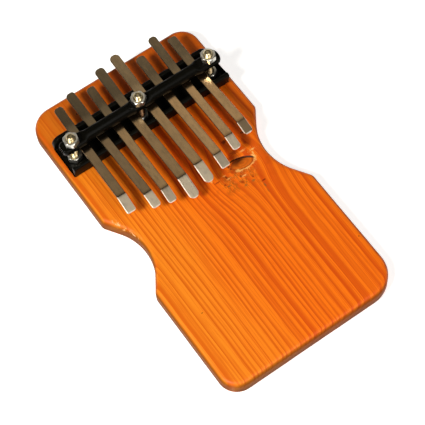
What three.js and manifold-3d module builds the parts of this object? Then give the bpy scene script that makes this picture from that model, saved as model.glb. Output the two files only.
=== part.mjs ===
// A small thumb piano (mbira): eight steel tines clamped over a black channel
// bridge by a pressure bar, on a waisted pine board.
// Millimetres, +Z up. +Y points to the back, where the tines' tails are, and +X to the
// right of the player's view. The origin is the centre of the board's underside.

import * as THREE from 'three';
import { mergeVertices } from 'three/addons/utils/BufferGeometryUtils.js';
import Module from 'manifold-3d';

const wasm = await Module();
wasm.setup();

// ---- Driving dimensions ----------------------------------------------------

const CLEARANCE = 0.2; // between pieces that touch

const BOARD = {
  width: 108,
  length: 197,
  thickness: 11,
  edgeRadius: 3,
  cornerRadius: { backLeft: 14, backRight: 11, frontLeft: 11, frontRight: 17 },
};

const NOTCH = {
  radius: 31, // of the round bottom of the waist
  slope: THREE.MathUtils.degToRad(33), // of its straight sides, from the board's side
  lipRadius: 5, // where a straight side meets the board's side
};
const WAIST_LEFT = { y: -4.4, depth: 10.8 };
const WAIST_RIGHT = { y: 4.6, depth: 11.2 };

const BRIDGE_Y = 61.7; // line of the three bolts
const CHANNEL = {
  x: -0.5,
  length: 101.2,
  depth: 22.6,
  height: 10.2,
  wall: 1.2,
  cornerRadius: 5, // of the back flange's upper corners
};

const BOLT_X = { left: -44.3, middle: -1.2, right: 44.6 };
const BOLT = {
  radius: 2.4,
  holeRadius: 2.7,
  headRadius: 4.5,
  headHeight: 2.8,
  headEdge: 0.9, // cut back from the pan head's corner
  endChamfer: 0.7,
  headInset: 0.4, // of the head behind the board's underside
  stickOut: 2.6, // of the bolt's end past the top nut
};
const WASHER = { radius: 5.2, thickness: 1 };
const POCKET_RADIUS = 6; // of the hole for a bolt's head
const NUT = { acrossFlats: 7.8, height: 3.8, faceInset: 0.1, chamferSlope: 0.55 };

const BAR = {
  left: -50.9,
  right: 50.9,
  radius: 3.5, // of the round stretches
  wall: 0.9,
  eyeHalfWidth: 4.3, // where the tube is pressed flat round a bolt
  eyeHalfHeight: 2.3,
  endEye: 6.5, // half length of a flat at an end
  middleEye: 4.4,
  swage: 4.5, // length over which the tube turns from flat to round
  endRound: 2.2, // length over which an end draws in
  drawnIn: 1.6, // on each side, at the very end
  eyeSquareness: 0.62, // exponent of the flat's section, where 1 is an ellipse
};

const TINE = {
  thickness: 1,
  tailRise: THREE.MathUtils.degToRad(4), // behind the bridge
  tongueRise: THREE.MathUtils.degToRad(3), // in front of it
  tipDrop: THREE.MathUtils.degToRad(15), // past the bend
  tipCorner: 1.3,
  endFlat: 0.25, // half of the flat left in the middle of a round end
  widest: 8,
  split: 0.3, // between a tine's clamped length and its free length
};

// From left to right: x at the bolt line, lean of the tail to the right (degrees),
// tail = bolt line to tail end, reach = bolt line to bend, tip = bend to tip end,
// width in front of the bridge and at the tail, and whether the tip is fully round.
const TINES = [
  { x: -38.5, lean: 1.1, tail: 25.7, reach: 39.9, tip: 10.3, width: 5.4, tailWidth: 5.3 },
  { x: -27.7, lean: -0.6, tail: 29.6, reach: 47.0, tip: 8.8, width: 5.3, tailWidth: 5.5 },
  { x: -17.4, lean: 1.2, tail: 26.3, reach: 50.1, tip: 8.4, width: 5.1, tailWidth: 5.2 },
  { x: -6.9, lean: 0.4, tail: 33.2, reach: 49.8, tip: 13.1, width: 5.8, tailWidth: 5.8, round: true },
  { x: 4.5, lean: 0.2, tail: 35.6, reach: 48.2, tip: 11.6, width: 5.7, tailWidth: 5.9, round: true },
  { x: 15.9, lean: 0.2, tail: 26.6, reach: 49.5, tip: 8.4, width: 5.3, tailWidth: 5.7 },
  { x: 27.8, lean: 0.8, tail: 33.0, reach: 43.7, tip: 8.6, width: 5.1, tailWidth: 5.2 },
  { x: 37.5, lean: -0.4, tail: 26.5, reach: 40.2, tip: 7.9, width: 5.3, tailWidth: 5.5 },
];

const CURVE_STEPS = 6; // three.js uses twice this on each arc
const ROUND_STEPS = 20; // round a bolt, washer or hole
const BAR_SIDES = 16;
const THROUGH = 1; // a cutter runs this far past the faces that it cuts

// ---- Levels worked out from them -------------------------------------------

const BOARD_TOP = BOARD.thickness;
const CHANNEL_BOTTOM = BOARD_TOP + CLEARANCE;
const CHANNEL_FLOOR = CHANNEL_BOTTOM + CHANNEL.wall;
const CHANNEL_TOP = CHANNEL_BOTTOM + CHANNEL.height;
const TINE_BOTTOM = CHANNEL_TOP + CLEARANCE;
const TINE_TOP = TINE_BOTTOM + TINE.thickness;
const BAR_Z = TINE_TOP + CLEARANCE + BAR.radius;
const TOP_NUT_BOTTOM = BAR_Z + BAR.eyeHalfHeight + CLEARANCE;
const BOLT_TOP = TOP_NUT_BOTTOM + NUT.height + BOLT.stickOut;
const HEAD_TOP = BOLT.headInset + BOLT.headHeight;
const WASHER_BOTTOM = HEAD_TOP + CLEARANCE;
const POCKET_DEPTH = WASHER_BOTTOM + WASHER.thickness + CLEARANCE;

// ---- Materials ---------------------------------------------------------------

function finish(color, roughness, metalness) {
  return new THREE.MeshStandardMaterial({ color, roughness, metalness });
}

const varnishedPine = () => finish(0xe07818, 0.45, 0);
const blackPaint = () => finish(0x0c0b0a, 0.25, 0.2);
const springSteel = () => finish(0x857a6b, 0.35, 1);
const zincPlate = () => finish(0xc6c6bd, 0.3, 1);
const yellowZinc = () => finish(0xc9ae74, 0.3, 1);

// ---- Solids ------------------------------------------------------------------

function toManifold(geometry) {
  const bare = geometry.clone();
  bare.deleteAttribute('normal');
  bare.deleteAttribute('uv');
  const merged = mergeVertices(bare, 1e-4);
  return new wasm.Manifold(new wasm.Mesh({
    numProp: 3,
    vertProperties: new Float32Array(merged.attributes.position.array),
    triVerts: new Uint32Array(merged.index.array),
  }));
}

function toGeometry(manifold) {
  const mesh = manifold.getMesh();
  const geometry = new THREE.BufferGeometry();
  geometry.setAttribute('position', new THREE.BufferAttribute(new Float32Array(mesh.vertProperties), 3));
  geometry.setIndex(new THREE.BufferAttribute(new Uint32Array(mesh.triVerts), 1));
  geometry.computeVertexNormals();
  return geometry;
}

const AXIS = {
  x: new THREE.Vector3(1, 0, 0),
  y: new THREE.Vector3(0, 1, 0),
  z: new THREE.Vector3(0, 0, 1),
};

// A shape drawn in (y, z), extruded along X and centred on it.
function extrudeAlongX(shape, length) {
  const geometry = new THREE.ExtrudeGeometry(shape, {
    depth: length, bevelEnabled: false, curveSegments: CURVE_STEPS,
  });
  geometry.translate(0, 0, -length / 2);
  geometry.applyMatrix4(new THREE.Matrix4().makeBasis(AXIS.y, AXIS.z, AXIS.x));
  return geometry;
}

// A shape drawn in (x, y), standing from one level to another.
function extrudeUp(shape, bottom, top) {
  const geometry = new THREE.ExtrudeGeometry(shape, {
    depth: top - bottom, bevelEnabled: false, curveSegments: CURVE_STEPS,
  });
  geometry.translate(0, 0, bottom);
  return geometry;
}

// A profile of [radius, z] points turned round the Z axis.
function turn(profile) {
  const points = profile.map(([radius, z]) => new THREE.Vector2(radius, z));
  const geometry = new THREE.LatheGeometry(points, ROUND_STEPS);
  geometry.rotateX(Math.PI / 2);
  return geometry;
}

function drill(x, y, radius, bottom, top) {
  const geometry = new THREE.CylinderGeometry(radius, radius, top - bottom, ROUND_STEPS);
  geometry.rotateX(Math.PI / 2);
  geometry.translate(x, y, (bottom + top) / 2);
  return toManifold(geometry);
}

function named(name, geometry, material) {
  const mesh = new THREE.Mesh(geometry, material);
  mesh.name = name;
  return mesh;
}

// ---- Board ---------------------------------------------------------------------

// Adds one side of the waist to an outline that runs counterclockwise. The left side is
// the right side turned half round.
function addWaist(outline, side, waist) {
  const turned = side > 0 ? 0 : Math.PI;
  const { radius, slope, lipRadius } = NOTCH;
  const edge = BOARD.width / 2;
  const middle = side * waist.y;
  const centreX = edge - waist.depth + radius;
  const straight = (waist.depth - radius * (1 - Math.cos(slope))) / Math.sin(slope);
  const lipAway = radius * Math.sin(slope) + straight * Math.cos(slope)
    + lipRadius * Math.tan(slope / 2);

  function arc(x, y, r, from, to, clockwise) {
    outline.absarc(side * x, side * y, r, from + turned, to + turned, clockwise);
  }
  arc(edge - lipRadius, middle - lipAway, lipRadius, 0, slope, false);
  arc(centreX, middle, radius, Math.PI + slope, Math.PI - slope, true);
  arc(edge - lipRadius, middle + lipAway, lipRadius, -slope, 0, false);
}

function boardOutline() {
  const halfWidth = BOARD.width / 2;
  const halfLength = BOARD.length / 2;
  const quarter = Math.PI / 2;
  const { backLeft, backRight, frontLeft, frontRight } = BOARD.cornerRadius;
  const outline = new THREE.Shape();
  outline.moveTo(-halfWidth + frontLeft, -halfLength);
  outline.absarc(halfWidth - frontRight, -halfLength + frontRight, frontRight, -quarter, 0, false);
  addWaist(outline, 1, WAIST_RIGHT);
  outline.absarc(halfWidth - backRight, halfLength - backRight, backRight, 0, quarter, false);
  outline.absarc(-halfWidth + backLeft, halfLength - backLeft, backLeft, quarter, 2 * quarter, false);
  addWaist(outline, -1, WAIST_LEFT);
  outline.absarc(-halfWidth + frontLeft, -halfLength + frontLeft, frontLeft, 2 * quarter, 3 * quarter, false);
  return outline;
}

function makeBoard() {
  const round = BOARD.edgeRadius;
  const blank = new THREE.ExtrudeGeometry(boardOutline(), {
    depth: BOARD.thickness - 2 * round,
    bevelThickness: round,
    bevelSize: round,
    bevelOffset: -round,
    bevelSegments: 3,
    curveSegments: CURVE_STEPS,
  });
  blank.translate(0, 0, round);
  let board = toManifold(blank);
  for (const x of Object.values(BOLT_X)) {
    board = board.subtract(drill(x, BRIDGE_Y, BOLT.holeRadius, -THROUGH, BOARD_TOP + THROUGH));
    board = board.subtract(drill(x, BRIDGE_Y, POCKET_RADIUS, -THROUGH, POCKET_DEPTH));
  }
  return named('board', toGeometry(board), varnishedPine());
}

// ---- Channel bridge --------------------------------------------------------------

function channelSection() {
  const { depth, height, wall } = CHANNEL;
  const section = new THREE.Shape();
  section.moveTo(-depth / 2, 0);
  section.lineTo(depth / 2, 0);
  section.lineTo(depth / 2, height);
  section.lineTo(depth / 2 - wall, height);
  section.lineTo(depth / 2 - wall, wall);
  section.lineTo(-depth / 2 + wall, wall);
  section.lineTo(-depth / 2 + wall, height);
  section.lineTo(-depth / 2, height);
  section.closePath();
  return section;
}

// The waste outside a rounded upper corner of the back flange, at one end.
function flangeCorner(side) {
  const r = CHANNEL.cornerRadius;
  const end = side * CHANNEL.length / 2;
  const top = CHANNEL.height;
  const waste = new THREE.Shape();
  waste.moveTo(end - side * r, top + THROUGH);
  waste.lineTo(end - side * r, top);
  const startAngle = Math.PI / 2;
  const endAngle = side > 0 ? 0 : Math.PI;
  waste.absarc(end - side * r, top - r, r, startAngle, endAngle, side > 0);
  waste.lineTo(end + side * THROUGH, top - r);
  waste.lineTo(end + side * THROUGH, top + THROUGH);
  waste.closePath();
  const geometry = new THREE.ExtrudeGeometry(waste, {
    depth: CHANNEL.wall + 2 * THROUGH, bevelEnabled: false, curveSegments: CURVE_STEPS,
  });
  geometry.applyMatrix4(new THREE.Matrix4().makeBasis(AXIS.x, AXIS.z, AXIS.y.clone().negate()));
  geometry.translate(0, CHANNEL.depth / 2 + THROUGH, 0);
  return toManifold(geometry);
}

function makeChannel() {
  let channel = toManifold(extrudeAlongX(channelSection(), CHANNEL.length));
  for (const side of [-1, 1]) {
    channel = channel.subtract(flangeCorner(side));
  }
  for (const x of Object.values(BOLT_X)) {
    channel = channel.subtract(
      drill(x - CHANNEL.x, 0, BOLT.holeRadius, -THROUGH, CHANNEL.wall + THROUGH),
    );
  }
  const mesh = named('bridge_channel', toGeometry(channel), blackPaint());
  mesh.position.set(CHANNEL.x, BRIDGE_Y, CHANNEL_BOTTOM);
  return mesh;
}

// ---- Bolts, washers and nuts -------------------------------------------------------

function makeBolt(name, x) {
  const { radius, headRadius, headHeight, headInset, headEdge, endChamfer } = BOLT;
  const geometry = turn([
    [0, headInset],
    [headRadius - headEdge, headInset],
    [headRadius, headInset + headEdge],
    [headRadius, headInset + headHeight],
    [radius, headInset + headHeight],
    [radius, BOLT_TOP - endChamfer],
    [radius - endChamfer, BOLT_TOP - endChamfer / 3],
    [0, BOLT_TOP],
  ]);
  const mesh = named(name, geometry, yellowZinc());
  mesh.position.set(x, BRIDGE_Y, 0);
  return mesh;
}

function makeWasher(name, x) {
  const geometry = turn([
    [BOLT.holeRadius, 0],
    [WASHER.radius, 0],
    [WASHER.radius, WASHER.thickness],
    [BOLT.holeRadius, WASHER.thickness],
    [BOLT.holeRadius, 0],
  ]);
  const mesh = named(name, geometry, zincPlate());
  mesh.position.set(x, BRIDGE_Y, WASHER_BOTTOM);
  return mesh;
}

function makeNut(name, x, bottom, turned) {
  const cornerRadius = NUT.acrossFlats / Math.sqrt(3);
  const hexagon = new THREE.Shape();
  for (let corner = 0; corner < 6; corner += 1) {
    const angle = corner * Math.PI / 3;
    const place = [cornerRadius * Math.cos(angle), cornerRadius * Math.sin(angle)];
    if (corner === 0) {
      hexagon.moveTo(...place);
    } else {
      hexagon.lineTo(...place);
    }
  }
  hexagon.closePath();
  const faceRadius = NUT.acrossFlats / 2 - NUT.faceInset;
  const rimRadius = cornerRadius + THROUGH;
  const rimDrop = (rimRadius - faceRadius) * NUT.chamferSlope;
  const chamfered = toManifold(turn([
    [0, 0],
    [faceRadius, 0],
    [rimRadius, rimDrop],
    [rimRadius, NUT.height - rimDrop],
    [faceRadius, NUT.height],
    [0, NUT.height],
  ]));
  const nut = toManifold(extrudeUp(hexagon, 0, NUT.height))
    .intersect(chamfered)
    .subtract(drill(0, 0, BOLT.holeRadius, -THROUGH, NUT.height + THROUGH));
  const mesh = named(name, toGeometry(nut), zincPlate());
  mesh.position.set(x, BRIDGE_Y, bottom);
  mesh.rotation.z = turned;
  return mesh;
}

// ---- Pressure bar --------------------------------------------------------------------

// How flat the tube is at x: 0 on a round stretch, 1 round a bolt.
function flatness(x) {
  const eyes = [
    { x: BAR.left + BAR.endEye, half: BAR.endEye },
    { x: BOLT_X.middle, half: BAR.middleEye },
    { x: BAR.right - BAR.endEye, half: BAR.endEye },
  ];
  const each = eyes.map((eye) => {
    const away = Math.abs(x - eye.x) - eye.half;
    return 1 - THREE.MathUtils.smoothstep(away, 0, BAR.swage);
  });
  return Math.max(...each);
}

// The tube's stations along X: close together where its section changes.
function barStations() {
  const stations = [BAR.left, BAR.left + BAR.endRound / 3, BAR.left + BAR.endRound];
  const changes = [
    [BAR.left + 2 * BAR.endEye, 1],
    [BOLT_X.middle - BAR.middleEye - BAR.swage, 1],
    [BOLT_X.middle + BAR.middleEye, 1],
    [BAR.right - 2 * BAR.endEye - BAR.swage, 1],
  ];
  const steps = 5;
  for (const [start, way] of changes) {
    for (let step = 0; step <= steps; step += 1) {
      stations.push(start + way * BAR.swage * step / steps);
    }
  }
  stations.push(BAR.right - BAR.endRound, BAR.right - BAR.endRound / 3, BAR.right);
  return stations;
}

// A closed skin through one ring of points at each station, shrunk by inset.
function barSkin(inset, overrun) {
  const stations = barStations();
  const last = stations.length - 1;
  const positions = [];
  const indices = [];
  stations.forEach((x, index) => {
    const flat = flatness(x);
    const fromEnd = Math.min(x - BAR.left, BAR.right - x);
    const inFromRound = 1 - Math.min(fromEnd / BAR.endRound, 1);
    const drawnIn = BAR.drawnIn * inFromRound ** 2;
    const halfWidth = THREE.MathUtils.lerp(BAR.radius, BAR.eyeHalfWidth, flat) - drawnIn - inset;
    const halfHeight = THREE.MathUtils.lerp(BAR.radius, BAR.eyeHalfHeight, flat) - inset;
    const squareness = THREE.MathUtils.lerp(1, BAR.eyeSquareness, flat);
    const outward = index === 0 ? -overrun : index === last ? overrun : 0;
    for (let side = 0; side < BAR_SIDES; side += 1) {
      const angle = 2 * Math.PI * side / BAR_SIDES;
      const c = Math.cos(angle);
      const s = Math.sin(angle);
      positions.push(
        x + outward,
        halfWidth * Math.sign(c) * Math.abs(c) ** squareness,
        halfHeight * Math.sign(s) * Math.abs(s) ** squareness,
      );
    }
  });
  for (let ring = 0; ring < last; ring += 1) {
    for (let side = 0; side < BAR_SIDES; side += 1) {
      const next = (side + 1) % BAR_SIDES;
      const a = ring * BAR_SIDES + side;
      const b = ring * BAR_SIDES + next;
      indices.push(a, b + BAR_SIDES, a + BAR_SIDES, a, b, b + BAR_SIDES);
    }
  }
  for (let side = 1; side < BAR_SIDES - 1; side += 1) {
    const end = last * BAR_SIDES;
    indices.push(0, side + 1, side, end, end + side, end + side + 1);
  }
  const geometry = new THREE.BufferGeometry();
  geometry.setAttribute('position', new THREE.Float32BufferAttribute(positions, 3));
  geometry.setIndex(indices);
  return toManifold(geometry);
}

function makeBar() {
  let bar = barSkin(0, 0).subtract(barSkin(BAR.wall, THROUGH));
  for (const x of Object.values(BOLT_X)) {
    bar = bar.subtract(drill(x, 0, BOLT.holeRadius, -BAR.radius - THROUGH, BAR.radius + THROUGH));
  }
  const mesh = named('pressure_bar', toGeometry(bar), blackPaint());
  mesh.position.set(0, BRIDGE_Y, BAR_Z);
  return mesh;
}

// ---- Tines -----------------------------------------------------------------------------

// A tine runs along its own Y axis from the bolt line: tail at +Y, tip at -Y.
const BACK_EDGE = CHANNEL.depth / 2;
const FRONT_EDGE = -CHANNEL.depth / 2;

// Closes a line of [y, z] points on a tine's underside into a band of its thickness.
function tineBand(underside) {
  const band = new THREE.Shape();
  band.moveTo(...underside[0]);
  for (const [y, z] of underside.slice(1)) {
    band.lineTo(y, z);
  }
  for (const [y, z] of [...underside].reverse()) {
    band.lineTo(y, z + TINE.thickness);
  }
  band.closePath();
  return band;
}

// The plan of a strip from startY to endY whose far end has rounded corners.
function stripPlan(startY, endY, startWidth, endWidth, corner) {
  const way = Math.sign(endY - startY);
  const half = endWidth / 2;
  const inner = endY - way * corner;
  const plan = new THREE.Shape();
  plan.moveTo(-way * startWidth / 2, startY);
  plan.lineTo(way * startWidth / 2, startY);
  const sweep = way * Math.PI / 2;
  if (way > 0) {
    plan.absarc(half - corner, inner, corner, 0, sweep, false);
    plan.absarc(-half + corner, inner, corner, sweep, 2 * sweep, false);
  } else {
    plan.absarc(-half + corner, inner, corner, Math.PI, Math.PI * 1.5, false);
    plan.absarc(half - corner, inner, corner, Math.PI * 1.5, 2 * Math.PI, false);
  }
  plan.closePath();
  return plan;
}

function tineSolid(underside, plan) {
  const band = toManifold(extrudeAlongX(tineBand(underside), TINE.widest));
  const strip = toManifold(extrudeUp(plan, BOARD_TOP, BOLT_TOP));
  return toGeometry(band.intersect(strip));
}

// The clamped length: over both flanges and out behind, where it rises.
function makeTineRoot(tine) {
  const tailEnd = tine.tail + THROUGH;
  const underside = [
    [FRONT_EDGE, TINE_BOTTOM],
    [BACK_EDGE, TINE_BOTTOM],
    [tailEnd, TINE_BOTTOM + (tailEnd - BACK_EDGE) * Math.tan(TINE.tailRise)],
  ];
  const corner = tine.tailWidth / 2 - TINE.endFlat;
  const plan = stripPlan(FRONT_EDGE, tine.tail, tine.width, tine.tailWidth, corner);
  return tineSolid(underside, plan);
}

// The free length: from the front flange to the bent-down tip.
function makeTineTongue(tine) {
  const start = FRONT_EDGE - TINE.split;
  const bendZ = TINE_BOTTOM + (start + tine.reach) * Math.tan(TINE.tongueRise);
  const tipEnd = tine.tip + THROUGH;
  const underside = [
    [-tine.reach - tipEnd, bendZ - tipEnd * Math.tan(TINE.tipDrop)],
    [-tine.reach, bendZ],
    [start, TINE_BOTTOM],
  ];
  const corner = tine.round ? tine.width / 2 - TINE.endFlat : TINE.tipCorner;
  const plan = stripPlan(start, -tine.reach - tine.tip, tine.width, tine.width, corner);
  return tineSolid(underside, plan);
}

function makeTine(tine, number) {
  const group = new THREE.Group();
  group.add(named(`tine_${number}_root`, makeTineRoot(tine), springSteel()));
  group.add(named(`tine_${number}_tongue`, makeTineTongue(tine), springSteel()));
  group.position.set(tine.x, BRIDGE_Y, 0);
  group.rotation.z = -THREE.MathUtils.degToRad(tine.lean);
  return group;
}

// ---- The instrument ----------------------------------------------------------------------

const mbira = new THREE.Group();
mbira.add(makeBoard());
mbira.add(makeChannel());
mbira.add(makeBar());

const baseNutTurns = { left: 0.25, middle: 0.1, right: 0.6 };
const topNutTurns = { left: 0.35, middle: 0.7, right: 0.15 };
for (const [side, x] of Object.entries(BOLT_X)) {
  mbira.add(makeBolt(`bolt_${side}`, x));
  mbira.add(makeWasher(`washer_${side}`, x));
  mbira.add(makeNut(`base_nut_${side}`, x, CHANNEL_FLOOR + CLEARANCE, baseNutTurns[side]));
  mbira.add(makeNut(`top_nut_${side}`, x, TOP_NUT_BOTTOM, topNutTurns[side]));
}
TINES.forEach((tine, index) => mbira.add(makeTine(tine, index + 1)));

export default mbira;
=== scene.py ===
"""A mbira (thumb piano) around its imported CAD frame: waisted pine board, black channel
bridge and pressure bar, three bolts with zinc nuts, and eight tines of spring steel."""
import math

import bmesh
import bpy
import numpy as np
from mathutils import Matrix, Vector, noise
from mathutils.geometry import delaunay_2d_cdt


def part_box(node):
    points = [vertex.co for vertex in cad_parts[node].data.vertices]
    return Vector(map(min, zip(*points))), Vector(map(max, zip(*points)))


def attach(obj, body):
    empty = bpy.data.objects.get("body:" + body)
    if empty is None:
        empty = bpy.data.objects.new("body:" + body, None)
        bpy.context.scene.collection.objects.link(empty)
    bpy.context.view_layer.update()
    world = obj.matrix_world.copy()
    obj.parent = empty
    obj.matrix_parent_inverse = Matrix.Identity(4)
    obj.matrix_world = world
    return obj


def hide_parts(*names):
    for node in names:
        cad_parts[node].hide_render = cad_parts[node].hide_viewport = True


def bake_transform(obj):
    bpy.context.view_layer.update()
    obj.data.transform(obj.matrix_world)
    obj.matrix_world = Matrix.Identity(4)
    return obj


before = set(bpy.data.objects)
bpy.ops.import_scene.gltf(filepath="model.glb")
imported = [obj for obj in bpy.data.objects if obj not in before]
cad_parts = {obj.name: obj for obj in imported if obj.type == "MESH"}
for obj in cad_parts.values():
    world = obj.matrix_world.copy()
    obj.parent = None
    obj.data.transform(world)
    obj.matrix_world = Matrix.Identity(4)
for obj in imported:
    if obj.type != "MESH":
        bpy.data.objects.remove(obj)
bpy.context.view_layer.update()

# ---- Sizes, in millimetres, in the CAD frame ----
# Those that the frame gives are read from it; the rest repeat the CAD source's values.

MM = 0.001


def box_mm(node):
    low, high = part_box(node)
    return low / MM, high / MM


BOARD_LOW, BOARD_HIGH = box_mm("board")
BOARD_TOP = BOARD_HIGH.z
HALF_WIDTH = BOARD_HIGH.x
HALF_LENGTH = BOARD_HIGH.y
EDGE_ROUND = 3.0
EDGE_STEPS = 8
CORNER = {"back_left": 14.0, "back_right": 11.0, "front_left": 11.0, "front_right": 17.0}
NOTCH_RADIUS = 31.0
NOTCH_SLOPE = math.radians(33)
NOTCH_LIP = 5.0
WAIST = {1: (4.6, 11.2), -1: (-4.4, 10.8)}  # side: (y of its middle, depth)

SIDES = ("left", "middle", "right")
BOLT_X = {side: sum(c.x for c in box_mm("bolt_" + side)) / 2 for side in SIDES}
BRIDGE_Y = sum(c.y for c in box_mm("bolt_middle")) / 2
HOLE = 2.7  # radius of the bolts' clearance holes
HOLE_SIDES = 40
POCKET = 6.0
POCKET_DEPTH = 4.6

TINE_THICK = 1.0
TINE_EDGE = 0.28  # rounding of the ends, as seen from the side
TINE_BOTTOM = box_mm("tine_1_root")[0].z
FLANGE = 11.3  # from the bolt line to the channel's outer faces
TAIL_RISE = math.radians(4)
TONGUE_RISE = math.radians(3)
TIP_DROP = math.radians(15)

# From left to right: x at the bolt line, lean (degrees), tail, reach to the bend, tip,
# width in front, width at the tail.
TINES = (
    (-38.5, 1.1, 25.7, 39.9, 10.3, 5.4, 5.3),
    (-27.7, -0.6, 29.6, 47.0, 8.8, 5.3, 5.5),
    (-17.4, 1.2, 26.3, 50.1, 8.4, 5.1, 5.2),
    (-6.9, 0.4, 33.2, 49.8, 13.1, 5.8, 5.8),
    (4.5, 0.2, 35.6, 48.2, 11.6, 5.7, 5.9),
    (15.9, 0.2, 26.6, 49.5, 8.4, 5.3, 5.7),
    (27.8, 0.8, 33.0, 43.7, 8.6, 5.1, 5.2),
    (37.5, -0.4, 26.5, 40.2, 7.9, 5.3, 5.5),
)
# Corner radii of the tail (left, right) and of the tip (left, right).
TINE_CORNERS = (
    (2.0, 1.8, 1.3, 1.3),
    (2.6, 1.9, 1.6, 1.5),
    (2.4, 1.6, 1.6, 1.8),
    (2.5, 2.2, 2.7, 2.7),
    (2.7, 2.7, 2.6, 2.6),
    (2.5, 2.2, 1.0, 1.0),
    (2.4, 2.1, 1.8, 1.8),
    (1.4, 1.5, 1.9, 2.1),
)


# ---- Mesh helpers ----

def linked(name, data):
    """An object in the scene that shows the given data."""
    obj = bpy.data.objects.new(name, data)
    bpy.context.scene.collection.objects.link(obj)
    return obj


def smooth(mesh, sharp):
    """Smooth shading, except at edges sharper than an angle in degrees."""
    mesh.shade_smooth()
    mesh.set_sharp_from_angle(angle=math.radians(sharp))


def make_object(name, vertices, faces, sharp=35):
    """A piece from vertices in millimetres, welded, smooth, with outward normals."""
    mesh = bpy.data.meshes.new(name)
    mesh.from_pydata([Vector(v) * MM for v in vertices], [], faces)
    bm = bmesh.new()
    bm.from_mesh(mesh)
    bmesh.ops.remove_doubles(bm, verts=bm.verts, dist=1e-7)
    bmesh.ops.recalc_face_normals(bm, faces=bm.faces)
    bm.to_mesh(mesh)
    bm.free()
    smooth(mesh, sharp)
    return linked(name, mesh)


def loft(rings, closed=False):
    """Vertices and faces of a skin through rings of equal length. The ends are capped, or
    the last ring meets the first."""
    count = len(rings[0])
    vertices = [point for ring in rings for point in ring]
    faces = []
    spans = len(rings) if closed else len(rings) - 1
    for span in range(spans):
        here = span * count
        there = (span + 1) % len(rings) * count
        for i in range(count):
            j = (i + 1) % count
            faces.append((here + i, here + j, there + j, there + i))
    if not closed:
        faces.append(tuple(range(count))[::-1])
        faces.append(tuple(range(len(vertices) - count, len(vertices))))
    return vertices, faces


def around(steps):
    """Angles evenly spaced round a full turn."""
    return [2 * math.pi * i / steps for i in range(steps)]


def turned(profile, steps=64):
    """Rings of a profile of (radius, z) points, turned round the Z axis."""
    rings = []
    for radius, z in profile:
        rings.append([(radius * math.cos(a), radius * math.sin(a), z) for a in around(steps)])
    return rings


def moved(vertices, x=0.0, y=0.0, z=0.0, turn=0.0):
    c, s = math.cos(turn), math.sin(turn)
    return [(x + c * v[0] - s * v[1], y + s * v[0] + c * v[1], z + v[2]) for v in vertices]


def cut_away(obj, cutter):
    """Cuts the cutter's shape out of a piece, and removes the cutter."""
    cut = obj.modifiers.new("cut", "BOOLEAN")
    cut.operation = "DIFFERENCE"
    cut.solver = "EXACT"
    cut.object = cutter
    bpy.context.view_layer.update()
    graph = bpy.context.evaluated_depsgraph_get()
    mesh = bpy.data.meshes.new_from_object(obj.evaluated_get(graph))
    obj.modifiers.clear()
    obj.data = mesh
    bpy.data.objects.remove(cutter)


def drill(obj, low, high):
    """Cuts the bolts' clearance holes through a piece, between two heights."""
    for x in BOLT_X.values():
        vertices, faces = loft(turned([(HOLE, low), (HOLE, high)], HOLE_SIDES))
        cut_away(obj, make_object("cutter", moved(vertices, x, BRIDGE_Y), faces))
    smooth(obj.data, 35)


def finish_piece(obj, body, nodes, material):
    """Gives a piece its material and its body, and hides the CAD nodes that it stands for."""
    obj.data.materials.clear()
    obj.data.materials.append(material)
    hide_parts(*nodes)
    if body is not None:
        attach(obj, body)


# ---- Node helpers ----

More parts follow.
